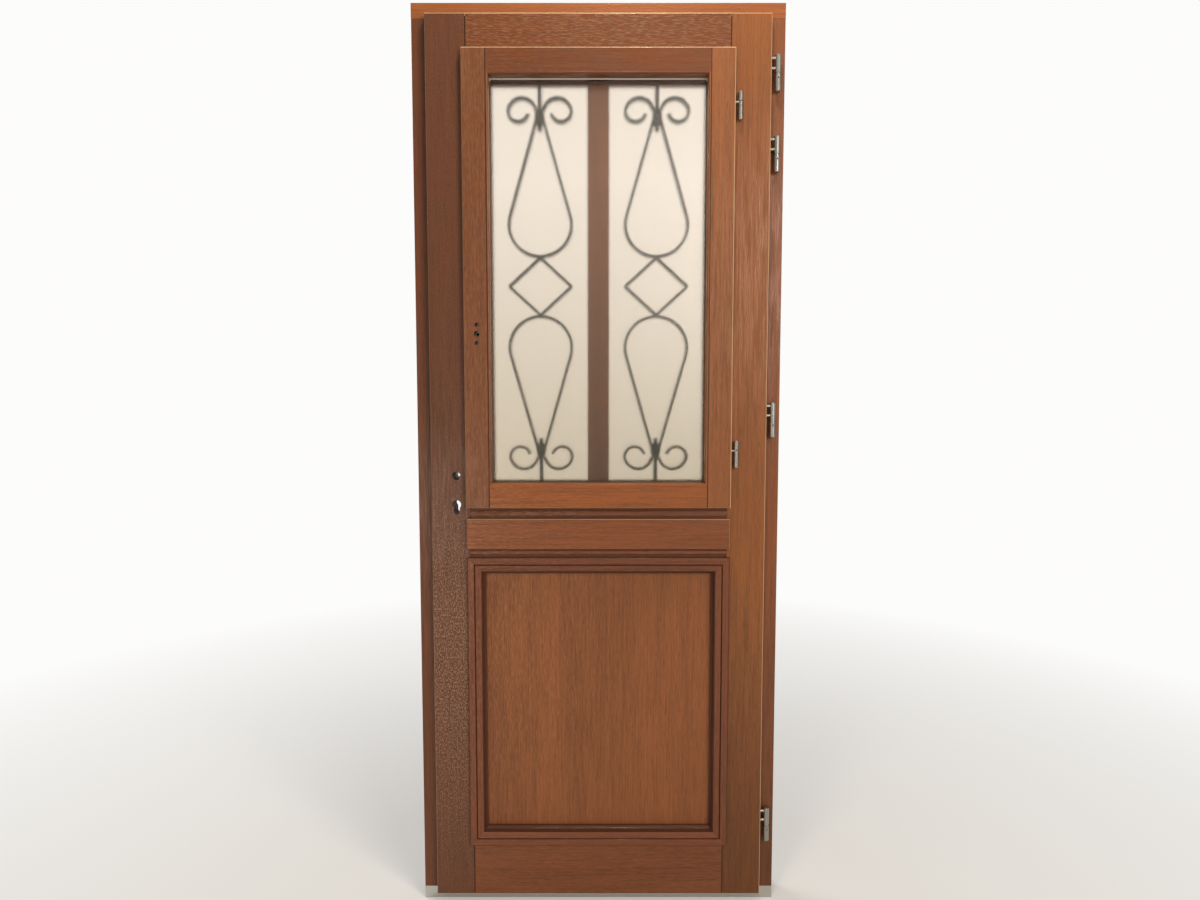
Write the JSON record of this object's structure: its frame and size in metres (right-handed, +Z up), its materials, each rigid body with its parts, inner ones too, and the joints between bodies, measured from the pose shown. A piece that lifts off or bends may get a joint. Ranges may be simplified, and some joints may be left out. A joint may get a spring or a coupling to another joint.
{
  "type": "glazed front door",
  "caption": "Varnished wooden front door in its frame, with an opening frosted casement over ironwork, and a moulded panel below.",
  "frame": {"origin": "middle of the threshold's underside, halfway through the frame's depth", "axes": "+X along the wall towards the hinges as seen from the room, +Y outwards through the doorway, +Z up"},
  "size_m": [0.88, 0.113, 2.19],
  "materials": {
    "stained_timber": "satin varnish",
    "satin_steel": "satin",
    "aluminium": "mill",
    "dark_rubber": "matte",
    "pale_seal": "matte",
    "frosted_glass": "frosted",
    "clear_glass": "clear",
    "wrought_iron": "painted, matte",
    "black_plastic": "matte"
  },
  "bodies": {
    "frame": {"frame_hinge_jamb": "stained_timber", "frame_lock_jamb": "stained_timber", "frame_head": "stained_timber", "threshold": "aluminium", "frame_seal": "dark_rubber", "main_strike_plate": "satin_steel", "aux_strike_plates": "satin_steel", "leaf_hinge_lower_1": "satin_steel", "leaf_hinge_lower_2": "satin_steel", "leaf_hinge_lower_3": "satin_steel", "leaf_hinge_lower_4": "satin_steel", "leaf_hinge_pins": "satin_steel"},
    "leaf": {"leaf_lock_stile": "stained_timber", "leaf_hinge_stile": "stained_timber", "leaf_top_rail": "stained_timber", "leaf_lock_rail": "stained_timber", "leaf_bottom_rail": "stained_timber", "rail_board": "stained_timber", "rail_beads": "stained_timber", "panel": "stained_timber", "panel_moulding_inner": "stained_timber", "panel_moulding_outer": "stained_timber", "outer_stop_frame": "stained_timber", "mullion": "stained_timber", "weather_bar": "stained_timber", "leaf_hinge_upper_1": "satin_steel", "leaf_hinge_upper_2": "satin_steel", "leaf_hinge_upper_3": "satin_steel", "leaf_hinge_upper_4": "satin_steel", "casement_hinge_lowers": "satin_steel", "casement_hinge_pins": "satin_steel", "casement_keeps": "satin_steel", "lock_case": "satin_steel", "lock_faceplate": "satin_steel", "aux_lock_cases": "satin_steel", "casement_seal": "dark_rubber", "grille_left": "wrought_iron", "grille_right": "wrought_iron"},
    "casement": {"casement_lock_stile": "stained_timber", "casement_hinge_stile": "stained_timber", "casement_top_rail": "stained_timber", "casement_bottom_rail": "stained_timber", "glass_inner": "frosted_glass", "glass_outer": "clear_glass", "glass_spacer": "aluminium", "glass_seal": "pale_seal", "glazing_beads": "stained_timber", "setting_blocks": "black_plastic", "casement_hinge_uppers": "satin_steel", "casement_faceplate": "satin_steel", "casement_gear_case": "satin_steel"},
    "latch_bolt": {"latch_bolt": "satin_steel"},
    "spindle_follower": {"spindle_follower": "satin_steel"},
    "dead_bolt": {"dead_bolt": "satin_steel"},
    "lock_rods": {"lock_rods": "satin_steel"},
    "upper_bolt": {"upper_bolt": "satin_steel"},
    "lower_bolt": {"lower_bolt": "satin_steel"},
    "casement_follower": {"casement_follower": "satin_steel"},
    "casement_rod": {"casement_rod": "satin_steel"}
  },
  "joints": [
    {"name": "leaf_swing", "type": "hinge", "parent": "frame", "child": "leaf", "pos_m": [0.421, -0.0385, 0], "axis": [0, 0, 1], "range_deg": [0, 110]},
    {"name": "casement_swing", "type": "hinge", "parent": "leaf", "child": "casement", "pos_m": [0.331, -0.055, 1.5], "axis": [0, 0, 1], "range_deg": [0, 100]},
    {"name": "follower_turn", "type": "hinge", "parent": "leaf", "child": "spindle_follower", "pos_m": [-0.344, -0.0105, 1.078], "axis": [0, -1, 0], "range_deg": [0, 35]},
    {"name": "latch_slide", "type": "slide", "parent": "leaf", "child": "latch_bolt", "axis": [-1, 0, 0], "range_m": [0, 0.012]},
    {"name": "dead_bolt_slide", "type": "slide", "parent": "leaf", "child": "dead_bolt", "axis": [-1, 0, 0], "range_m": [0, 0.02]},
    {"name": "lock_rods_slide", "type": "slide", "parent": "leaf", "child": "lock_rods", "axis": [0, 0, 1], "range_m": [0, 0.02]},
    {"name": "upper_bolt_slide", "type": "slide", "parent": "leaf", "child": "upper_bolt", "axis": [-1, 0, 0], "range_m": [0, 0.02]},
    {"name": "lower_bolt_slide", "type": "slide", "parent": "leaf", "child": "lower_bolt", "axis": [-1, 0, 0], "range_m": [0, 0.02]},
    {"name": "casement_follower_turn", "type": "hinge", "parent": "casement", "child": "casement_follower", "pos_m": [-0.288, -0.037, 1.417], "axis": [0, 1, 0], "range_deg": [0, 90]},
    {"name": "casement_rod_slide", "type": "slide", "parent": "casement", "child": "casement_rod", "axis": [0, 0, 1], "range_m": [0, 0.018]}
  ],
  "couplings": [
    {"joint": "follower_turn", "follows": "latch_slide", "rad_per_m": 50.9},
    {"joint": "dead_bolt_slide", "follows": "lock_rods_slide", "ratio": 1},
    {"joint": "upper_bolt_slide", "follows": "lock_rods_slide", "ratio": 1},
    {"joint": "lower_bolt_slide", "follows": "lock_rods_slide", "ratio": 1},
    {"joint": "casement_follower_turn", "follows": "casement_rod_slide", "rad_per_m": 87.2}
  ]
}
